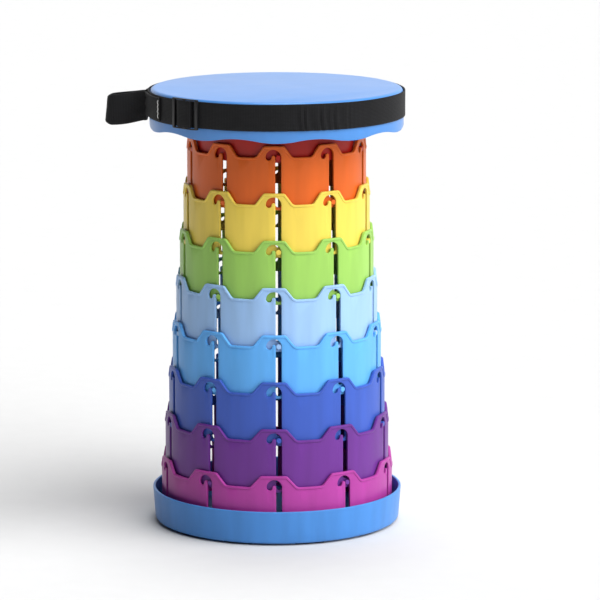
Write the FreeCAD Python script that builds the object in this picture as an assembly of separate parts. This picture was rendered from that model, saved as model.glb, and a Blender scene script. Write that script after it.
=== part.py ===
import FreeCAD, Part
import math
import os

# Collapsible telescopic stool: nine slotted rings between a round tray and a round seat.
# Millimetres, +Z up, the floor at Z = 0 and the stool's axis on X = Y = 0.
# An azimuth is in degrees, from the front (-Y) towards the right (+X).

# Ring stack
ring_names = ("pink", "purple", "royal_blue", "sky_blue", "pale_blue",
              "green", "yellow", "orange", "dark_red")
outer_ring_r = 116.0
ring_wall = 2.4
ring_gap = 1.46
ring_height = 63.0
tab_count = 10
tab_azimuth = -1.6

# Scalloped top edge of a ring
crest_span = 13.0
trough_span = 12.6
trough_drop = 11.5
crest_round = 4.0
trough_round = 5.0
lip_width = 2.0
lip_depth = 0.6

# Slot with its hook, and the lug that runs in it. A ring has lugs on every other tab, and
# the next ring's lugs are on the tabs between, so that no lug stands in its own ring's slot.
lug_d = 5.2
lug_clearance = 0.3
lug_rise = 5.6
lug_chamfer = 0.5
lug_roof = 1.5
hook_reach = 9.5
hook_band = 3.7
slot_turn = 2.6

# Tray at the foot
foot_stand = 2.0
tray_floor = 3.5
tray_height = 32.6
tray_r = 125.0
tray_foot_r = 122.5
tray_wall = 2.6
tray_corner = 3.0
tray_rim_round = 1.0
tray_hub_r = 77.0
tray_hub_rise = 6.0
tray_hub_wall = 2.6
tray_rib_t = 2.0
tray_eye_r = 14.0
catch_t = 2.0
catch_gap = 0.3

# Rubber pads under the tray
pad_count = 10
pad_span = 15.0
pad_r_in = 108.0
pad_r_out = 117.0
pad_recess = 1.2
pad_clearance = 0.2

# Seat
seat_r = 125.4
seat_plate = 3.5
seat_round = 4.5
seat_headroom = 3.3
seat_travel = 40.05
skirt_depth = 39.4
skirt_wall = 2.6
skirt_flare = 0.8
hem_count = 10
hem_wave = 3.6
seat_rib_t = 2.0
seat_rib_depth = 7.0
seat_rib_r = (12.0, 40.0, 66.0)

# Fixing of the smallest ring to the seat
boss_count = 5
boss_d = 8.0
boss_height = 6.0
flange_t = 2.6
flange_width = 12.0
screw_d = 3.0
screw_length = 8.0
screw_head_d = 6.4
screw_head_t = 2.2
screw_clearance = 0.2
thread_clearance = 0.05

# Webbing strap round the skirt
strap_w = 26.0
strap_t = 1.6
strap_gap = 0.1
strap_inset = 1.6

# Slider on the strap
slider_azimuth = -43.5
slider_gap = 0.3
slider_span = 15.0
slider_t = 2.4
slider_rail = 1.8
slider_side = 1.5
slider_bar = 1.6
slider_bar_t = 1.4
slider_window_gap = 0.6
fold_t = 1.8
fold_span = 7.6
fold_gap = 0.3

# Grab loop on the left, and its sewing
loop_azimuth = -90.0
loop_height = 30.0
loop_drop = 5.8
loop_t = 2.0
loop_length = 43.0
loop_bulge = 9.0
loop_neck = 4.0
loop_end_span = 28.0
loop_end_inset = 1.0
loop_exit_round = 3.5
stitch_count = 8
stitch_w = 1.8
stitch_t = 0.6
stitch_gap = 0.1
stitch_inset = 3.0

# Worked out from the above
ring_step = ring_wall + ring_gap
sector = 360.0 / tab_count
slope_span = (sector - crest_span - trough_span) / 2
slot_w = lug_d + 2 * lug_clearance
slot_azimuth = tab_azimuth + slot_turn
arch_r = (hook_reach + slot_w) / 2
arch_height = ring_height - hook_band - arch_r
section_rise = arch_height - lug_rise
lug_top = lug_rise + lug_d / 2
lug_length = ring_step - lug_clearance
tray_bottom = foot_stand
ring_floor = tray_bottom + tray_floor
tray_rim = tray_bottom + tray_height
last_ring = len(ring_names) - 1
seat_under = (ring_floor + (last_ring - 1) * section_rise + ring_height
              + seat_headroom + seat_travel)
seat_top = seat_under + seat_plate
lug_count = tab_count // 2
hem_low = seat_top - skirt_depth
strap_z1 = seat_top - strap_inset
strap_z0 = strap_z1 - strap_w
margin = 5.0


def ring_radius(index):
    """Outer radius of a ring's wall; ring 0 is the largest."""
    return outer_ring_r - index * ring_step


def ring_bottom(index):
    """Height of a ring's lower edge with the stool pulled out."""
    return ring_floor + index * section_rise


def skirt_radius(z):
    """Outer radius of the seat's skirt at height z."""
    return seat_r + skirt_flare * (seat_top - z) / skirt_depth


def turned(shape, azimuth):
    """The shape turned about the stool's axis."""
    copy = shape.copy()
    copy.rotate(FreeCAD.Vector(0, 0, 0), FreeCAD.Vector(0, 0, 1), azimuth)
    return copy


def all_round(shape, count, first):
    """Copies of a shape, evenly spaced about the axis."""
    return [turned(shape, first + k * 360.0 / count) for k in range(count)]


def tube(r_out, r_in, z0, z1):
    """Plain tube about the stool's axis."""
    outside = Part.makeCylinder(r_out, z1 - z0, FreeCAD.Vector(0, 0, z0))
    inside = Part.makeCylinder(r_in, z1 - z0 + 2 * margin, FreeCAD.Vector(0, 0, z0 - margin))
    return outside.cut(inside)


def arc_block(r_in, r_out, span, z0, z1):
    """Part of a tube, centred on the front."""
    wedge = Part.makeCylinder(r_out, z1 - z0, FreeCAD.Vector(0, 0, z0), FreeCAD.Vector(0, 0, 1), span)
    wedge = wedge.cut(Part.makeCylinder(r_in, z1 - z0 + 2 * margin, FreeCAD.Vector(0, 0, z0 - margin)))
    return turned(wedge, -90.0 - span / 2)


def rounded_wire(corners):
    """Closed wire in the front view through (x, z, radius) corners."""
    count = len(corners)
    edges = []
    ends = []
    for k in range(count):
        x, z, radius = corners[k]
        here = FreeCAD.Vector(x, z, 0)
        before = FreeCAD.Vector(corners[k - 1][0], corners[k - 1][1], 0) - here
        after = FreeCAD.Vector(corners[(k + 1) % count][0], corners[(k + 1) % count][1], 0) - here
        if radius == 0:
            ends.append((here, here, here))
            continue
        before.normalize()
        after.normalize()
        half = before.getAngle(after) / 2
        middle = before + after
        middle.normalize()
        reach = radius / math.tan(half)
        centre = here + middle * (radius / math.sin(half))
        ends.append((here + before * reach, centre - middle * radius, here + after * reach))
    for k in range(count):
        start, mid, stop = [front_point(p.x, p.y) for p in ends[k]]
        if corners[k][2] > 0:
            edges.append(Part.Arc(start, mid, stop).toShape())
        following = front_point(ends[(k + 1) % count][0].x, ends[(k + 1) % count][0].y)
        if stop.distanceToPoint(following) > 1e-6:
            edges.append(Part.LineSegment(stop, following).toShape())
    return Part.Wire(edges)


def front_point(x, z):
    """Point of a drawing that faces the front."""
    return FreeCAD.Vector(x, 0, z)


def through_wall(wire, radius):
    """Solid that carries a front drawing through a wall of this radius."""
    face = Part.Face(wire)
    block = face.extrude(FreeCAD.Vector(0, -(radius / 2 + 2 * margin), 0))
    block.translate(FreeCAD.Vector(0, -radius / 2, 0))
    return block


def lathe(corners):
    """Solid of revolution from (radius, z, corner radius) points."""
    face = Part.Face(rounded_wire(corners))
    return face.revolve(FreeCAD.Vector(0, 0, 0), FreeCAD.Vector(0, 0, 1), 360)


def scallop_wire(radius, crest, grow):
    """Outline of one trough, up past the crest; grown, it takes in the border and half crests."""
    slope_run = radius * (math.sin(math.radians(trough_span / 2 + slope_span))
                          - math.sin(math.radians(trough_span / 2)))
    lean = math.atan2(trough_drop, slope_run)
    shift = grow * math.tan(lean / 2)
    x_crest = radius * math.sin(math.radians(trough_span / 2 + slope_span)) + shift
    x_trough = radius * math.sin(math.radians(trough_span / 2)) + shift
    z_crest = crest - grow
    z_trough = crest - trough_drop - grow
    soft = trough_round + grow
    tight = crest_round - grow
    if grow > 0:
        x_side = radius * math.sin(math.radians(sector / 2 + 1))
    else:
        x_side = x_crest + tight * math.tan(lean / 2)
    return rounded_wire([(-x_side, z_crest, 0), (-x_crest, z_crest, tight), (-x_trough, z_trough, soft),
                         (x_trough, z_trough, soft), (x_crest, z_crest, tight), (x_side, z_crest, 0),
                         (x_side, crest + margin, 0), (-x_side, crest + margin, 0)])


def slot_wire(z0, low):
    """Straight slot that ends in a hook to the left; low is the centre of its round lower end."""
    half = slot_w / 2
    z_low = z0 + low
    z_arch = z0 + arch_height
    x_arch = -hook_reach / 2
    x_hook = -hook_reach
    tongue = arch_r - slot_w
    points = [front_point(x, z) for x, z in (
        (half, z_low), (half, z_arch), (x_arch, z_arch + arch_r), (x_hook - half, z_arch),
        (x_hook, z_arch - half), (x_hook + half, z_arch), (x_arch, z_arch + tongue),
        (-half, z_arch), (-half, z_low), (0, z_low - half))]
    return Part.Wire([
        Part.LineSegment(points[0], points[1]).toShape(),
        Part.Arc(points[1], points[2], points[3]).toShape(),
        Part.Arc(points[3], points[4], points[5]).toShape(),
        Part.Arc(points[5], points[6], points[7]).toShape(),
        Part.LineSegment(points[7], points[8]).toShape(),
        Part.Arc(points[8], points[9], points[0]).toShape()])


def lug(radius, z0):
    """Round lug on a ring's foot, at the front."""
    centre = FreeCAD.Vector(0, -(radius - ring_wall / 2), z0 + lug_rise)
    straight = ring_wall / 2 + lug_length - lug_chamfer
    outward = FreeCAD.Vector(0, -1, 0)
    stem = Part.makeCylinder(lug_d / 2, straight, centre, outward)
    nose = Part.makeCone(lug_d / 2, lug_d / 2 - lug_chamfer, lug_chamfer,
                         centre + outward * straight, outward)
    return stem.fuse(nose)


def lug_azimuth(index):
    """Azimuth of a ring's first lug; rings take the even and the odd tabs in turn."""
    return slot_azimuth + sector * (index % 2)


def ring_blank(index, z1):
    """Wall with its lugs."""
    radius = ring_radius(index)
    z0 = ring_bottom(index)
    wall = tube(radius, radius - ring_wall, z0, z1)
    return wall.fuse(all_round(lug(radius, z0), lug_count, lug_azimuth(index)))


def lip_sector(radius, crest):
    """Raised border along one trough and the half crests beside it."""
    strip = arc_block(radius, radius + lip_depth, sector, crest - trough_drop - 2 * lip_width, crest)
    strip = strip.common(through_wall(scallop_wire(radius, crest, lip_width), radius))
    return strip.cut(through_wall(scallop_wire(radius, crest, 0), radius))


def make_ring(index):
    """Ring with a lipped, scalloped top edge and a hooked slot under each crest."""
    radius = ring_radius(index)
    z0 = ring_bottom(index)
    crest = z0 + ring_height
    trough = tab_azimuth + sector / 2
    ring = ring_blank(index, crest)
    cuts = all_round(through_wall(scallop_wire(radius, crest, 0), radius), tab_count, trough)
    above_lug = lug_top + lug_roof + slot_w / 2
    short_slot = through_wall(slot_wire(z0, above_lug), radius)
    long_slot = through_wall(slot_wire(z0, lug_rise), radius)
    cuts += all_round(short_slot, lug_count, lug_azimuth(index))
    cuts += all_round(long_slot, lug_count, lug_azimuth(index + 1))
    ring = ring.cut(cuts)
    return ring.fuse(all_round(lip_sector(radius, crest), tab_count, trough)).removeSplitter()


def flange_z():
    """Top of the flange inside the smallest ring."""
    return seat_under - boss_height


def boss_r():
    """Radius of the circle of seat bosses."""
    return ring_radius(last_ring) - ring_wall - flange_width / 2


def upright(diameter, z0, z1, radius):
    """Upright pin at the front, on a circle of the given radius."""
    return Part.makeCylinder(diameter / 2, z1 - z0, FreeCAD.Vector(0, -radius, z0))


def make_top_ring():
    """Smallest ring: plain top edge under the seat, with a screwed flange inside."""
    ring = ring_blank(last_ring, seat_under)
    inner = ring_radius(last_ring) - ring_wall
    flange = tube(inner + ring_wall / 2, inner - flange_width, flange_z() - flange_t, flange_z())
    hole = upright(screw_d + 2 * screw_clearance, flange_z() - margin, flange_z() + margin, boss_r())
    return ring.fuse(flange).cut(all_round(hole, boss_count, 0)).removeSplitter()


def make_screws():
    """Pan-head screws, up through the flange into the seat's bosses."""
    under = flange_z() - flange_t
    shank = upright(screw_d, under, under + screw_length, boss_r())
    head = upright(screw_head_d, under - screw_head_t, under, boss_r())
    head = head.makeFillet(screw_head_t * 0.45, [head.Edges[2]])
    slot_block = Part.makeBox(screw_head_d, 0.8, 1.0,
                              FreeCAD.Vector(-screw_head_d / 2, -boss_r() - 0.4, under - screw_head_t - 0.1))
    screw = shank.fuse(head).cut(slot_block).removeSplitter()
    return Part.makeCompound(all_round(screw, boss_count, 0))


def tray_inner_r(z):
    """Inner radius of the tray's wall at height z."""
    share = (z - tray_bottom) / tray_height
    return tray_foot_r + (tray_r - tray_foot_r) * share - tray_wall


def tray_catches():
    """Hooked catches over the largest ring's lugs."""
    radius = ring_radius(0)
    r_in = radius + lip_depth + catch_gap
    r_out = tray_inner_r(ring_floor) + tray_wall / 2
    half = math.degrees((slot_w / 2) / radius)
    side = math.degrees(catch_t / radius)
    roof_z = ring_floor + lug_top + catch_gap
    roof = arc_block(r_in, r_out, 2 * half + side, roof_z, roof_z + catch_t)
    roof = turned(roof, side / 2)
    cheek = arc_block(r_in, r_out, side, ring_floor - 1, roof_z + catch_t)
    cheek = turned(cheek, half + side / 2)
    return all_round(roof.fuse(cheek), lug_count, lug_azimuth(0))


def tray_ribs():
    """Radial ribs and an eye under the raised middle of the tray."""
    top = ring_floor + tray_hub_rise
    rib = Part.makeBox(tray_rib_t, tray_hub_r - tray_eye_r, top - tray_bottom - 1,
                       FreeCAD.Vector(-tray_rib_t / 2, -tray_hub_r - 1, tray_bottom + 0.5))
    eye = tube(tray_eye_r, tray_eye_r - tray_rib_t, tray_bottom + 0.5, top - 1)
    mid_r = (tray_hub_r + tray_eye_r) / 2
    hoop = tube(mid_r, mid_r - tray_rib_t, tray_bottom + 0.5, top - 1)
    return all_round(rib, tab_count, 0) + [eye, hoop]


def make_tray():
    """Round tray with an upstanding rim, a raised ribbed middle and pad recesses."""
    floor_top = ring_floor
    hub_top = ring_floor + tray_hub_rise
    hub_in = tray_hub_r - tray_hub_wall
    tray = lathe([
        (0, hub_top - tray_hub_wall, 0),
        (hub_in, hub_top - tray_hub_wall, 1.0),
        (hub_in, tray_bottom, 0.6),
        (tray_foot_r, tray_bottom, tray_corner),
        (tray_r, tray_rim, tray_rim_round),
        (tray_r - tray_wall, tray_rim, tray_rim_round),
        (tray_inner_r(floor_top), floor_top, 1.0),
        (tray_hub_r, floor_top, 0.6),
        (tray_hub_r, hub_top, 1.5),
        (0, hub_top, 0)])
    tray = tray.fuse(tray_ribs() + tray_catches())
    recess = arc_block(pad_r_in - pad_clearance, pad_r_out + pad_clearance,
                       pad_span + math.degrees(2 * pad_clearance / pad_r_in),
                       tray_bottom - margin, tray_bottom + pad_recess)
    return tray.cut(all_round(recess, pad_count, tab_azimuth + sector / 2)).removeSplitter()


def make_pads():
    """Rubber pads that the stool stands on."""
    pad = arc_block(pad_r_in, pad_r_out, pad_span, 0, tray_bottom + pad_recess)
    edges = [e for e in pad.Edges if abs(e.BoundBox.ZMax - e.BoundBox.ZMin) > foot_stand]
    pad = pad.makeFillet(2.5, edges)
    rim = [e for e in pad.Edges if e.BoundBox.ZMax < 0.01]
    pad = pad.makeFillet(0.6, rim)
    return Part.makeCompound(all_round(pad, pad_count, tab_azimuth + sector / 2))


def hem_wire():
    """Region cut away under one rise of the wavy hem."""
    radius = seat_r + skirt_flare
    x_low = radius * math.sin(math.radians(180.0 / hem_count))
    x_mid = x_low / 2
    bend = (x_mid ** 2 + (hem_wave / 2) ** 2) / hem_wave
    lean = math.asin(x_mid / bend) / 2
    dx = bend * math.sin(lean)
    dz = bend * (1 - math.cos(lean))
    top = hem_low + hem_wave
    low_l = front_point(-x_low, hem_low)
    low_r = front_point(x_low, hem_low)
    mid_l = front_point(-x_mid, hem_low + hem_wave / 2)
    mid_r = front_point(x_mid, hem_low + hem_wave / 2)
    rise_l = front_point(-x_low + dx, hem_low + dz)
    rise_r = front_point(x_low - dx, hem_low + dz)
    floor_l = front_point(-x_low, hem_low - margin)
    floor_r = front_point(x_low, hem_low - margin)
    crown = Part.Arc(mid_l, front_point(0, top), mid_r).toShape()
    return Part.Wire([
        Part.LineSegment(floor_l, low_l).toShape(),
        Part.Arc(low_l, rise_l, mid_l).toShape(),
        crown,
        Part.Arc(mid_r, rise_r, low_r).toShape(),
        Part.LineSegment(low_r, floor_r).toShape(),
        Part.LineSegment(floor_r, floor_l).toShape()])


def seat_ribs():
    """Ribs under the middle of the seat."""
    z0 = seat_under - seat_rib_depth
    ribs = [tube(r, r - seat_rib_t, z0, seat_under + 1) for r in seat_rib_r]
    inner = seat_rib_r[0] - seat_rib_t / 2
    rib = Part.makeBox(seat_rib_t, seat_rib_r[-1] - 1 - inner, seat_rib_depth + 1,
                       FreeCAD.Vector(-seat_rib_t / 2, -(seat_rib_r[-1] - 1), z0))
    return ribs + all_round(rib, tab_count, 0)


def make_seat():
    """Round seat: flat top, flared skirt with a wavy hem, ribs and screw bosses."""
    hem_r = seat_r + skirt_flare
    lid = lathe([
        (0, seat_under, 0),
        (seat_r - skirt_wall, seat_under, 1.0),
        (hem_r - skirt_wall, hem_low, 0),
        (hem_r, hem_low, 0),
        (seat_r, seat_top, seat_round),
        (0, seat_top, 0)])
    boss = upright(boss_d, flange_z(), seat_under + 1, boss_r())
    lid = lid.fuse(all_round(boss, boss_count, 0) + seat_ribs())
    pilot = upright(screw_d + 2 * thread_clearance, flange_z() - 1,
                    flange_z() - flange_t + screw_length + screw_clearance, boss_r())
    lid = lid.cut(all_round(pilot, boss_count, 0))
    hem = through_wall(hem_wire(), hem_r)
    return lid.cut(all_round(hem, hem_count, 180.0 / hem_count)).removeSplitter()


def strap_r():
    """Inner radius of the strap."""
    return skirt_radius(strap_z0) + strap_gap


def make_strap():
    """Webbing band round the skirt."""
    return tube(strap_r() + strap_t, strap_r(), strap_z0, strap_z1)


def slider_r():
    """Inner radius of the slider."""
    return strap_r() + strap_t + slider_gap


def make_slider():
    """Three-bar slider, curved to the skirt, round the strap's fold."""
    r0 = slider_r()
    z0 = strap_z0 - slider_rail
    z1 = strap_z1 + slider_rail
    frame = arc_block(r0, r0 + slider_t, slider_span, z0, z1)
    frame = frame.makeFillet(slider_rail * 0.8, [e for e in frame.Edges if radial_corner(e, z0, z1)])
    window = arc_block(r0 - 1, r0 + slider_t + 1, slider_span - 2 * slider_side,
                       strap_z0 - slider_window_gap, strap_z1 + slider_window_gap)
    bar = arc_block(r0 + slider_t - slider_bar_t, r0 + slider_t, slider_bar, z0 + 1, z1 - 1)
    frame = frame.cut(window).fuse(bar)
    return turned(frame.removeSplitter(), slider_azimuth)


def radial_corner(edge, z0, z1):
    """True for the four short edges that run through the frame at its corners."""
    box = edge.BoundBox
    flat = box.ZMax - box.ZMin < 0.01
    at_end = min(abs(box.ZMin - z0), abs(box.ZMax - z1)) < 0.01
    return flat and at_end and abs(edge.Length - slider_t) < 0.01


def make_fold():
    """Webbing that comes up through one window, over the bar and down the other."""
    r0 = slider_r()
    r_top = r0 + slider_t + fold_gap
    wide = arc_block(r_top, r_top + fold_t, fold_span, strap_z0, strap_z1)
    leg_span = math.degrees(fold_t / r_top)
    leg = arc_block(r0, r_top + fold_t, leg_span, strap_z0, strap_z1)
    swing = (fold_span - leg_span) / 2
    fold = wide.fuse([turned(leg, -swing), turned(leg, swing)]).removeSplitter()
    return turned(fold, slider_azimuth)


def loop_path():
    """Middle line of the grab loop seen from above, drawn with the loop pointing to the front."""
    r_end = slider_r() + loop_t / 2
    tip = strap_r() + strap_t + loop_length - loop_t / 2
    bulge = loop_bulge - loop_t / 2
    start = math.radians(loop_end_span)
    x_exit = loop_neck + loop_exit_round
    turn = math.asin(x_exit / (r_end + loop_exit_round))
    leave = FreeCAD.Vector(r_end * math.sin(turn), -r_end * math.cos(turn), 0)
    pivot = FreeCAD.Vector(x_exit, -(r_end + loop_exit_round) * math.cos(turn), 0)
    neck = FreeCAD.Vector(loop_neck, pivot.y, 0)
    lean = (FreeCAD.Vector(-1, 0, 0) + (leave - pivot).normalize()).normalize()
    bend = pivot + lean * loop_exit_round
    wide = FreeCAD.Vector(bulge, -(tip - bulge), 0)
    far = FreeCAD.Vector(0, -tip, 0)
    first = FreeCAD.Vector(r_end * math.sin(start), -r_end * math.cos(start), 0)
    between = (start + turn) / 2
    along = FreeCAD.Vector(r_end * math.sin(between), -r_end * math.cos(between), 0)
    half = [(first, along, leave), (leave, bend, neck), (neck, None, wide)]
    return half, wide, far


def make_loop():
    """Folded webbing loop for carrying; its two sewn ends are trimmed to the strap's width."""
    half, wide, far = loop_path()
    edges = []
    for start, mid, stop in half:
        if mid is None:
            edges.append(Part.LineSegment(start, stop).toShape())
        else:
            edges.append(Part.Arc(start, mid, stop).toShape())
    mirror = [mirrored(e) for e in reversed(edges)]
    other = FreeCAD.Vector(-wide.x, wide.y, 0)
    tip = Part.Arc(wide, far, other).toShape()
    path = Part.Wire(edges + [tip] + mirror)
    outline = path.makeOffset2D(loop_t / 2, 0, False, False)
    face = Part.Face(outline)
    free = face.extrude(FreeCAD.Vector(0, 0, loop_height))
    free.translate(FreeCAD.Vector(0, 0, strap_z1 - loop_drop - loop_height))
    sewn = face.extrude(FreeCAD.Vector(0, 0, strap_w - 2 * loop_end_inset))
    sewn.translate(FreeCAD.Vector(0, 0, strap_z0 + loop_end_inset))
    near = Part.makeCylinder(slider_r() + loop_t + 1, 2 * loop_height,
                             FreeCAD.Vector(0, 0, strap_z0 - loop_height))
    loop = free.cut(near).fuse(sewn.common(near)).removeSplitter()
    return turned(loop, loop_azimuth)


def mirrored(edge):
    """Edge on the loop's other side."""
    return edge.mirror(FreeCAD.Vector(0, 0, 0), FreeCAD.Vector(1, 0, 0))


def make_loop_stitches():
    """Bar of stitches through each flat end of the grab loop."""
    r0 = slider_r() + loop_t + stitch_gap
    z_top = strap_z1 - loop_end_inset - stitch_inset
    z_low = strap_z0 + loop_end_inset + stitch_inset
    pitch = (z_top - z_low) / stitch_count
    span = math.degrees(stitch_w / r0)
    inset = math.degrees(stitch_inset / r0)
    row = []
    for k in range(stitch_count):
        z = z_low + k * pitch
        stitch = arc_block(r0, r0 + stitch_t, span, z + pitch * 0.15, z + pitch * 0.85)
        row.append(turned(stitch, loop_azimuth + loop_end_span - inset))
        row.append(turned(stitch, loop_azimuth - loop_end_span + inset))
    return Part.makeCompound(row)


def save(name, shape):
    """Writes one node."""
    shape.exportStep("parts/" + name + ".step")
    box = shape.BoundBox
    print(name, len(shape.Solids), "solids", "valid" if shape.isValid() else "INVALID",
          round(shape.Volume / 1000, 1), "cm3", [round(v, 1) for v in (
              box.XMin, box.YMin, box.ZMin, box.XMax, box.YMax, box.ZMax)])


os.makedirs("parts", exist_ok=True)
print("section rise", round(section_rise, 2), "seat top", round(seat_top, 2))
save("base_tray", make_tray())
save("foot_pads", make_pads())
for number in range(last_ring):
    save("ring_" + ring_names[number], make_ring(number))
save("ring_" + ring_names[last_ring], make_top_ring())
save("seat_lid", make_seat())
save("seat_screws", make_screws())
save("strap_band", make_strap())
save("strap_slider", make_slider())
save("strap_fold", make_fold())
save("grab_loop", make_loop())
save("loop_stitches", make_loop_stitches())
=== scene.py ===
import math

import bmesh
import bpy
from mathutils import Matrix, Vector
from mathutils.geometry import interpolate_bezier


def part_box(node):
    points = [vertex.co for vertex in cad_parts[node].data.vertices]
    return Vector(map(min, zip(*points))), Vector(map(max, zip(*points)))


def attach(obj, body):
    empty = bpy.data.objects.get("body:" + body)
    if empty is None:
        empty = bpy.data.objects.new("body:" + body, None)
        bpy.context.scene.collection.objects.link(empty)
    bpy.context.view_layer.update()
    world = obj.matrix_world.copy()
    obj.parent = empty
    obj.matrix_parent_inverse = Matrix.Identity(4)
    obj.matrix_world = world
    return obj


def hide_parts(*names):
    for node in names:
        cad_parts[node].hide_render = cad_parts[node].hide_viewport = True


# Looks of a collapsible telescopic stool. Metres, +Z up, the stool's axis on X = Y = 0.
# Azimuths, spans, turns and pitches are in degrees, from the front (-Y) towards the right (+X).

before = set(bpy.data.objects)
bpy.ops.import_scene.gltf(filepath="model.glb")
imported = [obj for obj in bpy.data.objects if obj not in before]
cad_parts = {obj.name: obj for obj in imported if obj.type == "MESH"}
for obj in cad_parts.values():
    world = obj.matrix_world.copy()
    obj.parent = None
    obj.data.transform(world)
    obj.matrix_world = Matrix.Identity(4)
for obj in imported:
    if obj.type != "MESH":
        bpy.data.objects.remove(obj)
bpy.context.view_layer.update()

MM = 0.001

# Camera, from the fit to the photograph's edges: focal length and frame in pixels, place in metres,
# and the angles by which it looks down and to the right
FOCAL_PIXELS = 3757.0
FRAME_PIXELS = 600.0
CAMERA_AWAY = 3.7
CAMERA_HEIGHT = 0.9
CAMERA_DIP = 10.37
CAMERA_YAW = 0.36

# Rings, from the foot up, with the colour of each
RING_COLOURS = (
    ("ring_pink", "#A63B93"),
    ("ring_purple", "#652F86"),
    ("ring_royal_blue", "#3A58B2"),
    ("ring_sky_blue", "#5CA7EA"),
    ("ring_pale_blue", "#96BBE7"),
    ("ring_green", "#94C35B"),
    ("ring_yellow", "#E6CA54"),
    ("ring_orange", "#D9621F"),
    ("ring_dark_red", "#B01C12"),
)
SHELL_COLOUR = "#4583C9"
OUTER_RING_R = 116.0 * MM
RING_STEP = 3.86 * MM
RING_WALL = 2.4 * MM
RING_HEIGHT = 63.0 * MM
TABS = 10
TAB_AZIMUTH = -1.6

# Scalloped edge, border and slot. They are as on the solids, with the border 0.6 mm wider.
CREST_SPAN = 13.0
TROUGH_SPAN = 12.6
TROUGH_DROP = 11.5 * MM
CREST_ROUND = 4.0 * MM
TROUGH_ROUND = 5.0 * MM
LIP_WIDTH = 2.6 * MM
LIP_DEPTH = 0.6 * MM
LIP_ROUND = 0.8 * MM
LUG_D = 5.2 * MM
LUG_CLEARANCE = 0.3 * MM
LUG_RISE = 5.6 * MM
LUG_CHAMFER = 0.5 * MM
LUG_ROOF = 1.5 * MM
HOOK_REACH = 9.5 * MM
HOOK_BAND = 3.7 * MM
SLOT_TURN = 2.6
SLOT_W = LUG_D + 2 * LUG_CLEARANCE
SECTOR = 360.0 / TABS
EDGE_ROUND = 0.45 * MM
BORDER_SINK = 0.02 * MM
BEND_STEP = 2.0
LUG_SIDES = 28

# Strap, with the slack in it that ripples right of the front. The ripples stay low where the slider
# can come, and the strap's edges wander in a long wave and a short one.
STRAP_LOW, STRAP_HIGH = (corner[2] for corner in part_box("strap_band"))
STRAP_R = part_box("strap_band")[1][0]
WEB_T = 1.6 * MM
RIPPLE = 1.3 * MM
RIPPLE_LOW_SHARE = 0.21
RIPPLE_PITCH = 3.4
RIPPLE_FIRST = -9.0
RIPPLE_HIGH_FROM = 13.0
RIPPLE_LAST = 28.0
RIPPLE_FADE = 9.0
RIPPLE_BOW = 1.1
WANDER = 0.22 * MM
SHORT_WANDER = 0.1 * MM
STRAP_ROWS = 1440

# Grab loop: its ends lie on the strap, its free part is wider and hangs towards the tip, which is
# rounded at its corners and leans a little
LOOP_AZIMUTH = -90.0
LOOP_TIP_EASE = 1.8 * MM
LOOP_TIP = -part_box("grab_loop")[0][0] - LOOP_TIP_EASE
LOOP_END_SPAN = 28.0
LOOP_LAY_R = STRAP_R + 1.2 * MM
LOOP_EXIT_ROUND = 3.5 * MM
LOOP_NECK = 4.0 * MM
LOOP_BULGE = 8.0 * MM
LOOP_W = 29.4 * MM
LOOP_END_W = 22.8 * MM
LOOP_BELLY = 1.4 * MM
LOOP_CORNER = 110.0 * MM
LOOP_CORNER_FROM = 0.82
LOOP_CREASE = 0.6 * MM
LOOP_CREASES = 5.5
LOOP_LEAN = 2.4 * MM
LOOP_SPREAD = 14.0 * MM
LOOP_REACH = 12.0 * MM
NECK_MID = 419.6 * MM
TIP_MID = 415.6 * MM

# Slider and the webbing over its bar
SLIDER_AZIMUTH = -43.5
FOLD_SPAN = 7.4
FOLD_R = STRAP_R + 3.8 * MM
FOLD_GAP = 0.3 * MM
FOLD_SQUARENESS = 0.4

# Bar tack through each end of the loop
STITCHES = 8
STITCH_D = 0.9 * MM
STITCH_LENGTH = 3.0 * MM
STITCH_LEAN = 38.0
STITCH_INSET = 3.0 * MM
STITCH_PROUD = 0.1 * MM
LOOP_MARGIN = 1.0 * MM


def linear(hex_colour):
    """Linear RGBA of an sRGB hex colour."""
    channels = [int(hex_colour[k:k + 2], 16) / 255 for k in (1, 3, 5)]
    return [c / 12.92 if c <= 0.04045 else ((c + 0.055) / 1.055) ** 2.4 for c in channels] + [1.0]


def darker(hex_colour, share):
    """Hex colour scaled towards black."""
    channels = [round(int(hex_colour[k:k + 2], 16) * share) for k in (1, 3, 5)]
    return "#" + "".join(f"{c:02X}" for c in channels)


def add(tree, kind, settings=None, links=None):
    """One node with its settings and its links: {input: value} and {input: output socket}."""
    node = tree.nodes.new(kind)
    for name, value in (settings or {}).items():
        if isinstance(name, str) and hasattr(node, name):
            setattr(node, name, value)
        else:
            node.inputs[name].default_value = value
    for name, socket in (links or {}).items():
        tree.links.new(socket, node.inputs[name])
    return node


def new_material(name):
    """Empty material with its tree, surface shader and output."""
    material = bpy.data.materials.new(name)
    material.use_nodes = True
    tree = material.node_tree
    tree.nodes.clear()
    shader = tree.nodes.new("ShaderNodeBsdfPrincipled")
    output = tree.nodes.new("ShaderNodeOutputMaterial")
    tree.links.new(shader.outputs["BSDF"], output.inputs["Surface"])
    return material, tree, shader


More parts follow.
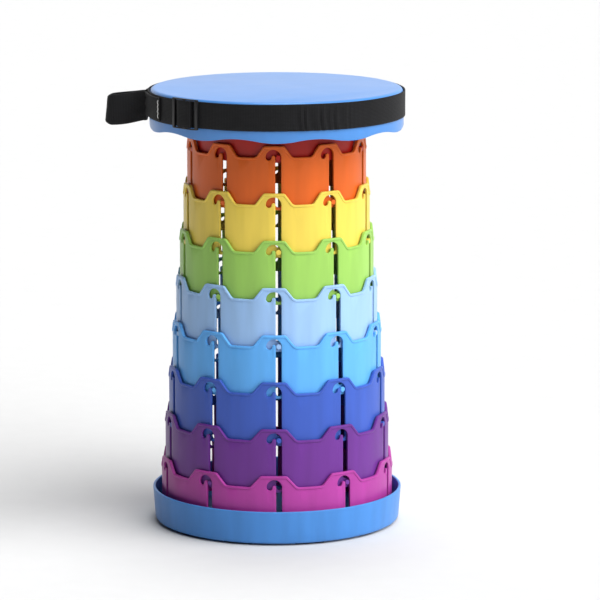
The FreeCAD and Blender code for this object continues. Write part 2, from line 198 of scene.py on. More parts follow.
def moulded_polypropylene(name, hex_colour, specular=0.3, gloss=(0.34, 0.46), relief_share=0.12,
                          flow_share=0.94):
    """Injection-moulded polypropylene: an even satin skin with a fine spark-eroded grain that
    softens the highlights, faint upright flow marks and a slightly uneven gloss."""
    material, tree, shader = new_material(name)
    shader.inputs["IOR"].default_value = 1.49
    shader.inputs["Specular IOR Level"].default_value = specular
    place = add(tree, "ShaderNodeTexCoord").outputs["Object"]
    stretch = add(tree, "ShaderNodeMapping", {"Scale": (1.0, 1.0, 0.12)}, {"Vector": place})
    # Flow marks about 12 mm across, drawn out upwards by the filling of the mould.
    flow = add(tree, "ShaderNodeTexNoise", {"Scale": 85.0, "Detail": 2.0, "Roughness": 0.45},
               {"Vector": stretch.outputs["Vector"]})
    tint = add(tree, "ShaderNodeMix",
               {"data_type": "RGBA", 6: linear(darker(hex_colour, flow_share)), 7: linear(hex_colour)})
    ramp = add(tree, "ShaderNodeMapRange", {"From Min": 0.3, "From Max": 0.7}, {"Value": flow.outputs["Fac"]})
    tree.links.new(ramp.outputs["Result"], tint.inputs["Factor"])
    tree.links.new(tint.outputs[2], shader.inputs["Base Color"])
    # Uneven gloss in patches of about 30 mm.
    patch = add(tree, "ShaderNodeTexNoise", {"Scale": 33.0, "Detail": 3.0}, {"Vector": place})
    rough = add(tree, "ShaderNodeMapRange", {"To Min": gloss[0], "To Max": gloss[1]},
                {"Value": patch.outputs["Fac"]})
    tree.links.new(rough.outputs["Result"], shader.inputs["Roughness"])
    # Mould grain of 0.5 mm, coarser than the real 0.1 mm so that it shows.
    grain = add(tree, "ShaderNodeTexNoise", {"Scale": 2000.0, "Detail": 1.0}, {"Vector": place})
    relief = add(tree, "ShaderNodeBump", {"Strength": relief_share, "Distance": 0.00008},
                 {"Height": grain.outputs["Fac"]})
    tree.links.new(relief.outputs["Normal"], shader.inputs["Normal"])
    return material


def woven_webbing(name):
    """Black polypropylene webbing: a ribbed plain weave with a soft sheen and dusty high threads."""
    material, tree, shader = new_material(name)
    shader.inputs["Sheen Weight"].default_value = 0.04
    shader.inputs["Sheen Roughness"].default_value = 0.5
    shader.inputs["Roughness"].default_value = 0.7
    shader.inputs["Specular IOR Level"].default_value = 0.25
    strand = add(tree, "ShaderNodeUVMap", {"uv_map": "cloth"}).outputs["UV"]
    # Threads 1.6 mm apart along the strap and 1.3 mm across it, twice the real ones so that they show.
    # A wave of scale 1 repeats every 314 mm.
    along = add(tree, "ShaderNodeTexWave", {"wave_type": "BANDS", "bands_direction": "X", "Scale": 196.0},
                {"Vector": strand})
    across = add(tree, "ShaderNodeTexWave", {"wave_type": "BANDS", "bands_direction": "Y", "Scale": 242.0},
                 {"Vector": strand})
    weave = add(tree, "ShaderNodeMath", {"operation": "MULTIPLY"},
                {0: along.outputs["Fac"], 1: across.outputs["Fac"]})
    # Dust and wear on the high threads, in patches of about 18 mm.
    dust = add(tree, "ShaderNodeTexNoise", {"Scale": 55.0, "Detail": 4.0}, {"Vector": strand})
    mixed = add(tree, "ShaderNodeMath", {"operation": "MULTIPLY"},
                {0: weave.outputs["Value"], 1: dust.outputs["Fac"]})
    tint = add(tree, "ShaderNodeMix", {"data_type": "RGBA", 6: linear("#0C0C0E"), 7: linear("#28282B")},
               {"Factor": mixed.outputs["Value"]})
    tree.links.new(tint.outputs[2], shader.inputs["Base Color"])
    relief = add(tree, "ShaderNodeBump", {"Strength": 0.6, "Distance": 0.0004},
                 {"Height": weave.outputs["Value"]})
    tree.links.new(relief.outputs["Normal"], shader.inputs["Normal"])
    return material


def plain_material(name, hex_colour, roughness, grain_mm, metallic=0.0):
    """Rubber, acetal, thread or steel: one colour broken by a fine grain of the given size."""
    material, tree, shader = new_material(name)
    shader.inputs["Metallic"].default_value = metallic
    place = add(tree, "ShaderNodeTexCoord").outputs["Object"]
    grain = add(tree, "ShaderNodeTexNoise", {"Scale": 1.0 / (grain_mm * MM), "Detail": 2.0},
                {"Vector": place})
    dark = [c * 0.8 for c in linear(hex_colour)[:3]] + [1.0]
    tint = add(tree, "ShaderNodeMix", {"data_type": "RGBA", 6: dark, 7: linear(hex_colour)},
               {"Factor": grain.outputs["Fac"]})
    tree.links.new(tint.outputs[2], shader.inputs["Base Color"])
    gloss = add(tree, "ShaderNodeMapRange", {"To Min": roughness - 0.06, "To Max": roughness + 0.06},
                {"Value": grain.outputs["Fac"]})
    tree.links.new(gloss.outputs["Result"], shader.inputs["Roughness"])
    relief = add(tree, "ShaderNodeBump", {"Strength": 0.2, "Distance": grain_mm * MM * 0.2},
                 {"Height": grain.outputs["Fac"]})
    tree.links.new(relief.outputs["Normal"], shader.inputs["Normal"])
    return material


def new_object(name, mesh):
    """Object with this mesh, in the scene."""
    piece = bpy.data.objects.new(name, mesh)
    bpy.context.scene.collection.objects.link(piece)
    return piece


def settled(piece, name):
    """Plain object with the piece's modifiers worked into its mesh."""
    bpy.context.view_layer.update()
    seen = piece.evaluated_get(bpy.context.evaluated_depsgraph_get())
    mesh = bpy.data.meshes.new_from_object(seen)
    piece.modifiers.clear()
    bpy.data.objects.remove(piece)
    mesh.name = name
    return new_object(name, mesh)


def smooth(mesh, degrees=35.0):
    """Smooth shading, with the corners over this angle kept sharp."""
    mesh.shade_smooth()
    mesh.set_sharp_from_angle(angle=math.radians(degrees))


def merged_copy(node, name, material, bevel):
    """Copy of a solid's mesh, merged, with its edges eased by a bevel of this width, if any."""
    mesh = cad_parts[node].data.copy()
    work = bmesh.new()
    work.from_mesh(mesh)
    bmesh.ops.remove_doubles(work, verts=work.verts, dist=1e-6)
    bmesh.ops.dissolve_limit(work, angle_limit=math.radians(0.5), verts=work.verts, edges=work.edges)
    work.to_mesh(mesh)
    work.free()
    mesh.materials.clear()
    mesh.materials.append(material)
    piece = new_object(name, mesh)
    if bevel > 0:
        eased = piece.modifiers.new("eased", "BEVEL")
        eased.width = bevel
        eased.segments = 2
        eased.limit_method = "ANGLE"
        eased.angle_limit = math.radians(40)
        piece = settled(piece, name)
    smooth(piece.data)
    return piece


def corner_arc(before, corner, after, radius, steps):
    """Points of an arc that rounds a corner."""
    here = Vector(corner)
    if radius == 0:
        return [here]
    back = (Vector(before) - here).normalized()
    on = (Vector(after) - here).normalized()
    half = back.angle(on) / 2
    middle = (back + on).normalized()
    centre = here + middle * (radius / math.sin(half))
    first = here + back * (radius / math.tan(half)) - centre
    last = here + on * (radius / math.tan(half)) - centre
    turn = first.angle_signed(last)
    return [centre + Matrix.Rotation(-turn * k / steps, 2) @ first for k in range(steps + 1)]


def rounded_outline(corners, steps=6):
    """Points of a closed outline through (x, z, radius) corners."""
    points = []
    count = len(corners)
    for k, (x, z, radius) in enumerate(corners):
        points += corner_arc(corners[k - 1][:2], (x, z), corners[(k + 1) % count][:2], radius, steps)
    return points


def arc_points(x, z, radius, start, stop, steps):
    """Points of an arc about (x, z), angles in degrees from +X towards +Z."""
    angles = [math.radians(start + (stop - start) * k / steps) for k in range(steps + 1)]
    return [Vector((x + radius * math.cos(a), z + radius * math.sin(a))) for a in angles]


def slot_outline(low, x):
    """Straight slot with its hook to the left; low is the centre of the round lower end."""
    half = SLOT_W / 2
    arch_r = (HOOK_REACH + SLOT_W) / 2
    z_arch = RING_HEIGHT - HOOK_BAND - arch_r
    points = arc_points(x - HOOK_REACH / 2, z_arch, arch_r, 0, 180, 20)
    points += arc_points(x - HOOK_REACH, z_arch, half, 180, 360, 10)[1:-1]
    points += arc_points(x - HOOK_REACH / 2, z_arch, arch_r - SLOT_W, 180, 0, 10)
    points += arc_points(x, low, half, 180, 360, 10)
    return points


def plate(name, outlines, thickness, ease, steps=1):
    """Flat plate with holes and eased edges, in X and Z, its back on Y = 0 and its face at -Y."""
    curve = bpy.data.curves.new(name, "CURVE")
    curve.dimensions = "2D"
    curve.fill_mode = "BOTH"
    curve.bevel_depth = ease
    curve.bevel_resolution = steps
    curve.extrude = thickness / 2 - ease
    curve.offset = -ease
    for outline in outlines:
        spline = curve.splines.new("POLY")
        spline.points.add(len(outline) - 1)
        for point, place in zip(spline.points, outline):
            point.co = (place[0], place[1], 0, 1)
        spline.use_cyclic_u = True
    flat = new_object(name, curve)
    piece = settled(flat, name)
    piece.data.transform(Matrix.Translation((0, -thickness / 2, 0)) @ Matrix.Rotation(math.pi / 2, 4, "X"))
    return piece


def turned_mesh(name, profile, segments):
    """Body of revolution about +Z through (radius, z) points; the first and the last lie on the axis."""
    work = bmesh.new()
    poles = [work.verts.new((0, 0, profile[k][1])) for k in (0, -1)]
    rings = []
    for radius, z in profile[1:-1]:
        turns = [2 * math.pi * k / segments for k in range(segments)]
        rings.append([work.verts.new((radius * math.cos(t), radius * math.sin(t), z)) for t in turns])
    for k in range(segments):
        following = (k + 1) % segments
        work.faces.new((poles[0], rings[0][following], rings[0][k]))
        work.faces.new((poles[1], rings[-1][k], rings[-1][following]))
        for low, high in zip(rings, rings[1:]):
            work.faces.new((low[k], low[following], high[following], high[k]))
    mesh = bpy.data.meshes.new(name)
    work.to_mesh(mesh)
    work.free()
    return mesh


def make_lug(x):
    """Round lug with a chamfered nose on the flat plate's foot."""
    length = RING_WALL / 2 + RING_STEP - LUG_CLEARANCE
    profile = [(0, 0), (LUG_D / 2, 0), (LUG_D / 2, length - LUG_CHAMFER), (LUG_D / 2 - LUG_CHAMFER, length),
               (0, length)]
    mesh = turned_mesh("lug", profile, LUG_SIDES)
    mesh.transform(Matrix.Translation((x, -RING_WALL / 2, LUG_RISE)) @ Matrix.Rotation(math.pi / 2, 4, "X"))
    return new_object("lug", mesh)


def cut_to_tile(mesh, width, cell):
    """Keeps the middle tile of a flat plate and cuts it into upright strips, so that it can bend."""
    work = bmesh.new()
    work.from_mesh(mesh)
    bmesh.ops.remove_doubles(work, verts=work.verts, dist=1e-7)
    strips = math.ceil(width / cell)
    for k in range(strips + 1):
        x = -width / 2 + width * k / strips
        edge = k in (0, strips)
        bmesh.ops.bisect_plane(work, geom=work.verts[:] + work.edges[:] + work.faces[:], dist=1e-7,
                               plane_co=(x, 0, 0), plane_no=(1, 0, 0),
                               clear_outer=edge and k > 0, clear_inner=edge and k == 0)
    work.to_mesh(mesh)
    work.free()


def ring_tile(radius, index):
    """Two neighbouring tabs of a ring as a flat plate: one slot cut short over a lug, one long."""
    arc = math.pi / 180 * radius
    slope = (SECTOR - CREST_SPAN - TROUGH_SPAN) / 2 * arc
    crest = CREST_SPAN / 2 * arc
    period = SECTOR * arc
    lean = math.atan2(TROUGH_DROP, slope)

    def top_corners(first, last, grow):
        """Corners of the scalloped edge; grown, they run along the border's lower side."""
        shift = grow * math.tan(lean / 2)
        tight = CREST_ROUND - grow
        soft = TROUGH_ROUND + grow
        z_crest = RING_HEIGHT - grow
        z_trough = z_crest - TROUGH_DROP
        corners = []
        for k in range(first, last + 1):
            x = k * period
            corners += [(x - crest - slope + shift, z_trough, soft), (x - crest + shift, z_crest, tight),
                        (x + crest - shift, z_crest, tight), (x + crest + slope - shift, z_trough, soft)]
        return corners

    spare = TROUGH_SPAN / 4 * arc
    top = top_corners(-2, 2, 0)
    low_edge = top_corners(-2, 2, LIP_WIDTH)
    left = top[0][0] - spare
    right = top[-1][0] + spare
    wall = [(left, 0, 0), (left, top[0][1], 0)] + top + [(right, top[-1][1], 0), (right, 0, 0)]
    outlines = [rounded_outline(wall)]
    slot_x = SLOT_TURN * arc
    short = LUG_RISE + LUG_D / 2 + LUG_ROOF + SLOT_W / 2
    for k in (-2, -1, 0, 1, 2):
        low = short if (k - index) % 2 == 0 else LUG_RISE
        outlines.append(slot_outline(low, slot_x + k * period))
    tile = plate("tile", outlines, RING_WALL, EDGE_ROUND)
    border = [(left, low_edge[0][1], 0), (left, top[0][1], 0)] + top
    border += [(right, top[-1][1], 0), (right, low_edge[-1][1], 0)] + low_edge[::-1]
    lip = plate("lip", [rounded_outline(border)], LIP_DEPTH + RING_WALL / 2, LIP_ROUND, 2)
    lip.data.transform(Matrix.Translation((0, -RING_WALL / 2, -BORDER_SINK)))
    shift = Matrix.Translation((-period / 2, 0, 0))
    for piece in (tile, lip):
        piece.data.transform(shift)
        cut_to_tile(piece.data, 2 * period, BEND_STEP * arc)
    lug_tab = -0.5 if index % 2 == 0 else 0.5
    return [tile, lip, make_lug(slot_x + lug_tab * period)], period


def group_input(tree, name, kind, value=None):
    """Named input of a node group, with its default."""
    socket = tree.interface.new_socket(name=name, in_out="INPUT", socket_type=kind)
    if value is not None:
        socket.default_value = value


def ring_tree():
    """Bends a flat run of tiles round the stool's axis: each copy stands one period further on."""
    tree = bpy.data.node_groups.new("bent ring", "GeometryNodeTree")
    group_input(tree, "Tile", "NodeSocketGeometry")
    group_input(tree, "Copies", "NodeSocketInt", TABS // 2)
    group_input(tree, "Period", "NodeSocketFloat", 0.07)
    group_input(tree, "Radius", "NodeSocketFloat", OUTER_RING_R)
    group_input(tree, "Turn", "NodeSocketFloat", 0.0)
    group_input(tree, "Rise", "NodeSocketFloat", 0.0)
    group_input(tree, "Material", "NodeSocketMaterial")
    tree.interface.new_socket(name="Ring", in_out="OUTPUT", socket_type="NodeSocketGeometry")
    given = tree.nodes.new("NodeGroupInput").outputs
    step = add(tree, "ShaderNodeCombineXYZ", links={"X": given["Period"]})
    row = add(tree, "GeometryNodeMeshLine", {"mode": "OFFSET"},
              {"Count": given["Copies"], "Offset": step.outputs[0]})
    copies = add(tree, "GeometryNodeInstanceOnPoints",
                 links={"Points": row.outputs[0], "Instance": given["Tile"]})
    real = add(tree, "GeometryNodeRealizeInstances", links={"Geometry": copies.outputs[0]})
    position = add(tree, "GeometryNodeInputPosition").outputs[0]
    spot = add(tree, "ShaderNodeSeparateXYZ", links={"Vector": position})
    angle = add(tree, "ShaderNodeMath", {"operation": "DIVIDE"}, {0: spot.outputs["X"], 1: given["Radius"]})
    turned = add(tree, "ShaderNodeMath", {"operation": "ADD"}, {0: angle.outputs[0], 1: given["Turn"]})
    sine = add(tree, "ShaderNodeMath", {"operation": "SINE"}, {0: turned.outputs[0]})
    cosine = add(tree, "ShaderNodeMath", {"operation": "COSINE"}, {0: turned.outputs[0]})
    inner = add(tree, "ShaderNodeMath", {"operation": "SUBTRACT"}, {0: given["Radius"], 1: spot.outputs["Y"]})
    inner = add(tree, "ShaderNodeMath", {"operation": "SUBTRACT", 1: RING_WALL}, {0: inner.outputs[0]})
    x = add(tree, "ShaderNodeMath", {"operation": "MULTIPLY"}, {0: inner.outputs[0], 1: sine.outputs[0]})
    y = add(tree, "ShaderNodeMath", {"operation": "MULTIPLY"}, {0: inner.outputs[0], 1: cosine.outputs[0]})
    front = add(tree, "ShaderNodeMath", {"operation": "MULTIPLY", 1: -1.0}, {0: y.outputs[0]})
    z = add(tree, "ShaderNodeMath", {"operation": "ADD"}, {0: spot.outputs["Z"], 1: given["Rise"]})
    place = add(tree, "ShaderNodeCombineXYZ",
                links={"X": x.outputs[0], "Y": front.outputs[0], "Z": z.outputs[0]})
    bent = add(tree, "GeometryNodeSetPosition",
               links={"Geometry": real.outputs[0], "Position": place.outputs[0]})
    joined = add(tree, "GeometryNodeMergeByDistance", {"Distance": 1e-6}, {"Geometry": bent.outputs[0]})
    shown = add(tree, "GeometryNodeSetMaterial",
                links={"Geometry": joined.outputs[0], "Material": given["Material"]})
    output = tree.nodes.new("NodeGroupOutput")
    tree.links.new(shown.outputs[0], output.inputs[0])
    return tree


def bent_round(piece, tree, values):
    """Plain object that the node group makes of a flat piece."""
    modifier = piece.modifiers.new("bend", "NODES")
    modifier.node_group = tree
    for item in tree.interface.items_tree:
        if item.in_out == "INPUT" and item.name in values:
            modifier[item.identifier] = values[item.name]
    return settled(piece, piece.name)


def join(pieces, name):
    """One object of several."""
    work = bmesh.new()
    for piece in pieces:
        work.from_mesh(piece.data)
    mesh = pieces[0].data
    work.to_mesh(mesh)
    work.free()
    for piece in pieces[1:]:
        bpy.data.objects.remove(piece)
    pieces[0].name = name
    return pieces[0]


def make_ring(index, tree, material):
    """Slotted ring with its border and lugs, bent round the axis."""
    node = RING_COLOURS[index][0]
    radius = OUTER_RING_R - index * RING_STEP
    flat, period = ring_tile(radius, index)
    values = {"Copies": TABS // 2, "Period": 2 * period, "Radius": radius,
              "Turn": math.radians(TAB_AZIMUTH) + period / radius / 2, "Rise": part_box(node)[0][2],
              "Material": material}
    ring = join([bent_round(piece, tree, values) for piece in flat], "shown_" + node)
    smooth(ring.data)
    return ring


def window(x, first, last, soft):
    """1 between first and last, easing to 0 over the soft width outside them."""
    share = max(0.0, 1.0 - max(first - x, x - last, 0.0) / soft)
    return share * share * (3 - 2 * share)


def webbing_row(row, ahead, behind, half):
    """Section of a webbing band at one row: (point, distance from the lower selvage) all round it."""
    last = len(row) - 1
    normals = [(ahead[j] - behind[j]).cross(row[min(j + 1, last)] - row[max(j - 1, 0)]).normalized()
               for j in range(last + 1)]
    rise = [(point - row[0]).length for point in row]
    top = (row[last] - row[last - 1]).normalized()
    foot = (row[0] - row[1]).normalized()
    arc = [math.radians(angle) for angle in (45, 90, 135)]
    section = [(row[j] + normals[j] * half, rise[j]) for j in range(last + 1)]
    section += [(row[last] + (normals[last] * math.cos(a) + top * math.sin(a)) * half,
                 rise[last] + half * math.sin(a)) for a in arc]
    section += [(row[j] - normals[j] * half, rise[j]) for j in range(last, -1, -1)]
    section += [(row[0] + (foot * math.sin(a) - normals[0] * math.cos(a)) * half, -half * math.sin(a))
                for a in arc]
    return section


def webbing(name, rows, thickness, closed, material):
    """Band of webbing with rounded selvages through rows of points, each from its lower to its upper edge."""
    count = len(rows)
    middle = len(rows[0]) // 2
    points = []
    strand = []
    run = 0.0
    for k, row in enumerate(rows):
        ahead = rows[(k + 1) % count] if closed else rows[min(k + 1, count - 1)]
        behind = rows[k - 1] if closed else rows[max(k - 1, 0)]
        if k > 0:
            run += (row[middle] - rows[k - 1][middle]).length
        for point, across in webbing_row(row, ahead, behind, thickness / 2):
            points.append(point)
            strand.append((run, across))
    size = len(points) // count
    spans = count if closed else count - 1
    faces = [(k * size + i, (k + 1) % count * size + i, (k + 1) % count * size + (i + 1) % size,
              k * size + (i + 1) % size) for k in range(spans) for i in range(size)]
    if not closed:
        faces += [tuple(range(size)), tuple(reversed(range((count - 1) * size, count * size)))]
    mesh = bpy.data.meshes.new(name)
    mesh.from_pydata(points, [], faces)
    cloth = mesh.uv_layers.new(name="cloth")
    length = run + (rows[0][middle] - rows[-1][middle]).length
    for face in mesh.polygons:
        seam = closed and face.index >= (count - 1) * size
        for corner in face.loop_indices:
            along, across = strand[mesh.loops[corner].vertex_index]
            cloth.data[corner].uv = (length if seam and along == 0 else along, across)
    mesh.materials.append(material)
    smooth(mesh, 50.0)
    return new_object(name, mesh)


def polar(radius, azimuth, z):
    """Point at an azimuth."""
    turn = math.radians(azimuth)
    return Vector((radius * math.sin(turn), -radius * math.cos(turn), z))


def strap_rows():
    """Rows of the strap, all the way round.

    The sines at odd numbers of waves to the turn make heights and spacing of the ripples uneven. The
    ripples lean to the left at the front, stand upright further right, and fade at the upper edge."""
    rows = []
    across = 10
    for k in range(STRAP_ROWS):
        azimuth = 360.0 * k / STRAP_ROWS - 180.0
        turn = math.radians(azimuth)
        wander = WANDER * math.sin(2 * turn + 0.6) + SHORT_WANDER * math.sin(7 * turn)
        low_part = window(azimuth, RIPPLE_FIRST, RIPPLE_LAST, RIPPLE_FADE)
        high_part = window(azimuth, RIPPLE_HIGH_FROM, RIPPLE_LAST, RIPPLE_FADE)
        slack = RIPPLE * (RIPPLE_LOW_SHARE * low_part + (1 - RIPPLE_LOW_SHARE) * high_part)
        slack *= 0.8 + 0.2 * math.sin(41 * turn)
        uneven = 0.9 * math.sin(31 * turn) + 0.6 * math.sin(53 * turn + 1)
        phase = 2 * math.pi * azimuth / RIPPLE_PITCH + uneven
        slant = 2.2 - azimuth * 0.07
        low = STRAP_LOW + WEB_T / 2 + wander
        high = STRAP_HIGH - WEB_T / 2 + wander
        row = []
        for j in range(across + 1):
            share = j / across
            bow = 4 * share * (1 - share)
            wave = 0.5 + 0.5 * math.sin(phase + slant * share + RIPPLE_BOW * bow)
            ripple = slack * (1 - share ** 4) * wave
            row.append(polar(STRAP_R - WEB_T / 2 + ripple, azimuth, low + (high - low) * share))
        rows.append(row)
    return rows


def loop_plan():
    """Half of the loop's middle line from above, drawn with the loop pointing to the front."""
    pivot_x = LOOP_NECK + LOOP_EXIT_ROUND
    turn = math.asin(pivot_x / (LOOP_LAY_R + LOOP_EXIT_ROUND))
    pivot_y = -(LOOP_LAY_R + LOOP_EXIT_ROUND) * math.cos(turn)
    lay = arc_points(0, 0, LOOP_LAY_R, LOOP_END_SPAN - 90, math.degrees(turn) - 90, 60)
    leave = arc_points(pivot_x, pivot_y, LOOP_EXIT_ROUND, 90 + math.degrees(turn), 180, 10)
    wide_y = -(LOOP_TIP - WEB_T / 2 - LOOP_BULGE)
    side = interpolate_bezier((LOOP_NECK, pivot_y, 0), (LOOP_NECK, pivot_y - LOOP_REACH, 0),
                              (LOOP_BULGE, wide_y + LOOP_REACH, 0), (LOOP_BULGE, wide_y, 0), 24)
    tip = arc_points(0, wide_y, LOOP_BULGE, 0, -90, 12)
    return lay + leave[1:] + [point.xy for point in side[1:]] + tip[1:]


def loop_rows():
    """Rows of the grab loop: gathered where it leaves the strap, then wider and hanging to the tip.

    free goes from 0 on the strap to 1 off it, out from 0 at the neck to 1 at the tip, and share from
    0 at the lower selvage to 1 at the upper one."""
    half = loop_plan()
    plan = half + [Vector((-p.x, p.y)) for p in reversed(half[:-1])]
    neck = LOOP_LAY_R + LOOP_EXIT_ROUND
    across = 10
    rows = []
    for k, spot in enumerate(plan):
        along = (plan[min(k + 1, len(plan) - 1)] - plan[max(k - 1, 0)]).normalized()
        side = Vector((along.y, -along.x))
        free = window(abs(spot.x) if spot.length < neck else 0.0, 0.0, LOOP_NECK, LOOP_SPREAD)
        out = max(0.0, (-spot.y - neck) / (LOOP_TIP - neck))
        width = LOOP_END_W + (LOOP_W - LOOP_END_W) * free
        strap_mid = (STRAP_LOW + STRAP_HIGH) / 2
        mid = strap_mid + (NECK_MID - strap_mid) * free + (TIP_MID - NECK_MID) * out
        gather = LOOP_CREASE * (4 * free * (1 - free) + free * window(out, 0.0, 0.2, 0.7))
        row = []
        for j in range(across + 1):
            share = j / across
            crease = side * gather * math.sin((LOOP_CREASES - 2.0 * out) * math.pi * share + 0.5)
            flat = spot + crease + Vector((0, -1)) * out ** 2 * (0.5 - share) * LOOP_LEAN
            z = mid + (share - 0.5) * (width - WEB_T)
            z -= LOOP_BELLY * math.sin(math.pi * min(out, 1.0)) * (1 - share) ** 2
            corner = (1 - share) ** 3 - 0.6 * share ** 3
            z += max(0.0, out - LOOP_CORNER_FROM) ** 2 * LOOP_CORNER * corner
            row.append(Matrix.Rotation(math.radians(LOOP_AZIMUTH), 3, "Z") @ Vector((flat.x, flat.y, z)))
        rows.append(row)
    return rows


def fold_rows():
    """Rows of the webbing that comes up through one window of the slider and goes down the other."""
    rows = []
    steps = 40
    across = 8
    low = STRAP_R + FOLD_GAP + WEB_T / 2
    foot = STRAP_LOW + WEB_T / 2
    height = STRAP_HIGH - STRAP_LOW - WEB_T
    for k in range(steps + 1):
        turn = math.pi * k / steps
        side = math.copysign(abs(math.cos(turn)) ** FOLD_SQUARENESS, math.cos(turn)) * FOLD_SPAN / 2
        rise = math.sin(turn) ** FOLD_SQUARENESS
        radius = low + (FOLD_R - low) * rise
        rows.append([polar(radius, SLIDER_AZIMUTH - side, foot + height * j / across)
                     for j in range(across + 1)])
    return rows


def make_stitches(material):
    """Zigzag bar tacks of thread through the two flat ends of the loop."""
    rounds = [(STITCH_D / 2 * math.cos(a), STITCH_D / 2 * math.sin(a))
              for a in (math.radians(15 * k) for k in range(6))]
    reach = (STITCH_LENGTH - STITCH_D) / 2
    profile = [(0, -reach - STITCH_D / 2)] + [(r, -reach - z) for r, z in reversed(rounds)]
    profile += [(r, reach + z) for r, z in rounds] + [(0, reach + STITCH_D / 2)]
    low = STRAP_LOW + LOOP_MARGIN + STITCH_INSET
    high = STRAP_HIGH - LOOP_MARGIN - STITCH_INSET
    radius = LOOP_LAY_R + WEB_T / 2 + STITCH_PROUD
    inset = math.degrees(STITCH_INSET / radius)
    pieces = []
    for side in (1, -1):
        azimuth = LOOP_AZIMUTH + side * (LOOP_END_SPAN - inset)
        for k in range(STITCHES):
            mesh = turned_mesh("thread", profile, 12)
            lean = math.radians(STITCH_LEAN if k % 2 else -STITCH_LEAN)
            z = low + (high - low) * (k + 0.5) / STITCHES
            spot = Matrix.Rotation(math.radians(azimuth), 4, "Z") @ Matrix.Translation((0, -radius, z))
            mesh.transform(spot @ Matrix.Rotation(lean, 4, "Y"))
            pieces.append(new_object("thread", mesh))
    tack = join(pieces, "shown_loop_stitches")
    tack.data.materials.append(material)
    smooth(tack.data, 60.0)
    return tack


def on_body(piece, body, node):
    """The piece rides on a body and stands for a node, whose solid is hidden."""
    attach(piece, body)
    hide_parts(node)


def make_camera():
    """Camera at the photograph's place: far in front, a little above, with a long lens."""
    lens = bpy.data.cameras.new("camera")
    lens.sensor_width = 36.0
    lens.lens = FOCAL_PIXELS / FRAME_PIXELS * lens.sensor_width
    lens.clip_end = 100.0
    camera = bpy.data.objects.new("camera", lens)
    camera.location = (0.0, -CAMERA_AWAY, CAMERA_HEIGHT)
    camera.rotation_euler = (math.radians(90 - CAMERA_DIP), 0.0, math.radians(-CAMERA_YAW))
    bpy.context.scene.collection.objects.link(camera)
    bpy.context.scene.camera = camera


def soft_light(name, azimuth, elevation, spread, strength, mirrored=True):
    """Broad far light from a direction; the spread is how wide it looks from the stool, in degrees.
    Glossy surfaces show a mirrored one."""
    light = bpy.data.lights.new(name, "SUN")
    light.angle = math.radians(spread)
    light.energy = strength * math.pi
    lamp = bpy.data.objects.new(name, light)
    lamp.rotation_euler = (math.radians(90 - elevation), 0.0, math.radians(azimuth))
    lamp.visible_glossy = mirrored
    bpy.context.scene.collection.objects.link(lamp)


def make_studio():
    """Pale floor, a soft main light from the right, and a surround that is bright behind the stool."""
    mesh = bpy.data.meshes.new("floor")
    half = 14.0
    corners = [(-half, -half, 0), (half, -half, 0), (half, half, 0), (-half, half, 0)]
    mesh.from_pydata(corners, [], [(0, 1, 2, 3)])
    floor = new_object("floor", mesh)
    material, tree, shader = new_material("white paper sweep")
    place = add(tree, "ShaderNodeTexCoord").outputs["Object"]
    fibre = add(tree, "ShaderNodeTexNoise", {"Scale": 40.0}, {"Vector": place})
    tint = add(tree, "ShaderNodeMix", {"data_type": "RGBA", 6: linear("#CCCCCC"), 7: linear("#D0D0D0")},
               {"Factor": fibre.outputs["Fac"]})
    tree.links.new(tint.outputs[2], shader.inputs["Base Color"])
    shader.inputs["Roughness"].default_value = 0.9
    mesh.materials.append(material)
    soft_light("key", 62.0, 38.0, 70.0, 1.25, False)
    soft_light("key highlight", 62.0, 38.0, 50.0, 0.35)
    soft_light("top", 170.0, 76.0, 24.0, 0.35)
    soft_light("edge light", 12.0, 62.0, 20.0, 0.18)
    world = bpy.data.worlds.new("studio")
    world.use_nodes = True
    tree = world.node_tree
    direction = add(tree, "ShaderNodeTexCoord").outputs["Generated"]
    heading = add(tree, "ShaderNodeSeparateXYZ", links={"Vector": direction})
    glow = add(tree, "ShaderNodeMapRange",
               {"From Min": 0.45, "From Max": 0.95, "To Min": 0.05, "To Max": 1.05},
               {"Value": heading.outputs["Y"]})
    tree.nodes["Background"].inputs["Color"].default_value = linear("#FFFFFF")
    tree.links.new(glow.outputs["Result"], tree.nodes["Background"].inputs["Strength"])
    bpy.context.scene.world = world
    bpy.context.scene.view_settings.view_transform = "Standard"


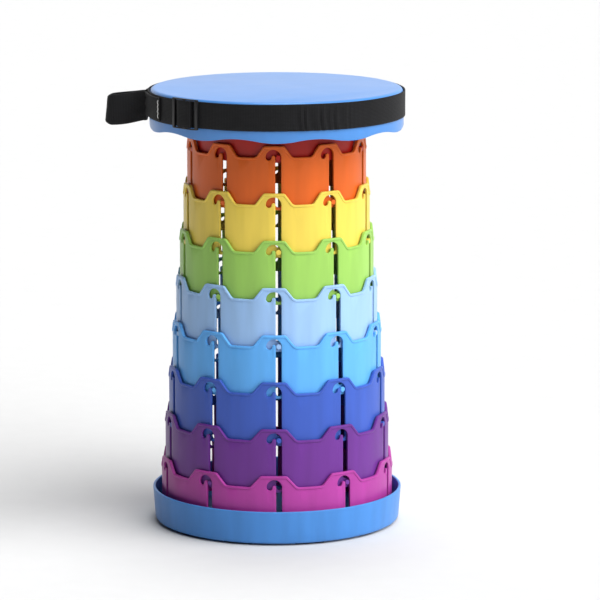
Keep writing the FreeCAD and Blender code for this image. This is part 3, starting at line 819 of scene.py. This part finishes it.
make_camera()
make_studio()
bend = ring_tree()
plastics = {node: moulded_polypropylene("moulded polypropylene " + node[5:].replace("_", " "), colour)
            for node, colour in RING_COLOURS}
shell_blue = moulded_polypropylene("moulded polypropylene shell blue", SHELL_COLOUR)
# The seat comes from a polished mould: smoother, so that it takes a pale even sheen of the surround.
seat_blue = moulded_polypropylene("polished polypropylene shell blue", SHELL_COLOUR, specular=0.5,
                                  gloss=(0.27, 0.33), relief_share=0.015, flow_share=0.98)
strap_cloth = woven_webbing("black polypropylene webbing")
# Moulded acetal: black with a low gloss and a fine even grain.
acetal = plain_material("black acetal", "#151517", 0.42, 0.8)
# Bonded thread: off-white, matt, with the twist showing as a fine grain.
thread = plain_material("bonded polyester thread", "#EEEEEC", 0.6, 0.3)
# Moulded rubber: dark, matt and slightly blotched.
rubber = plain_material("dark rubber", "#26282E", 0.7, 1.2)
# Zinc plate: a bright metal with a fine crystalline unevenness.
steel = plain_material("zinc plated steel", "#B9BCC0", 0.32, 0.6, 1.0)

# The dark red ring has a plain top edge, so it is one of the solids that are shown as they are, most
# with eased edges. The other rings are made anew.
for index in range(len(RING_COLOURS) - 1):
    node = RING_COLOURS[index][0]
    ring = make_ring(index, bend, plastics[node])
    on_body(ring, "base" if index == 0 else "section_" + node[5:], node)
for node, body, material, slot, ease in (
        ("ring_dark_red", "seat", plastics["ring_dark_red"], "ring_dark_red", 0.3),
        ("base_tray", "base", shell_blue, "shell_blue", 0.5),
        ("seat_lid", "seat", seat_blue, "shell_blue", 0.5),
        ("foot_pads", "base", rubber, "pad_rubber", 0.0),
        ("seat_screws", "seat", steel, "screw_steel", 0.15),
        ("strap_slider", "slider", acetal, "slider_black", 0.3)):
    on_body(merged_copy(node, "shown_" + node, material, ease * MM), body, node)
for node, body, rows, closed in (
        ("strap_band", "seat", strap_rows(), True),
        ("grab_loop", "seat", loop_rows(), False),
        ("strap_fold", "slider", fold_rows(), False)):
    on_body(webbing("shown_" + node, rows, WEB_T, closed, strap_cloth), body, node)
on_body(make_stitches(thread), "seat", "loop_stitches")
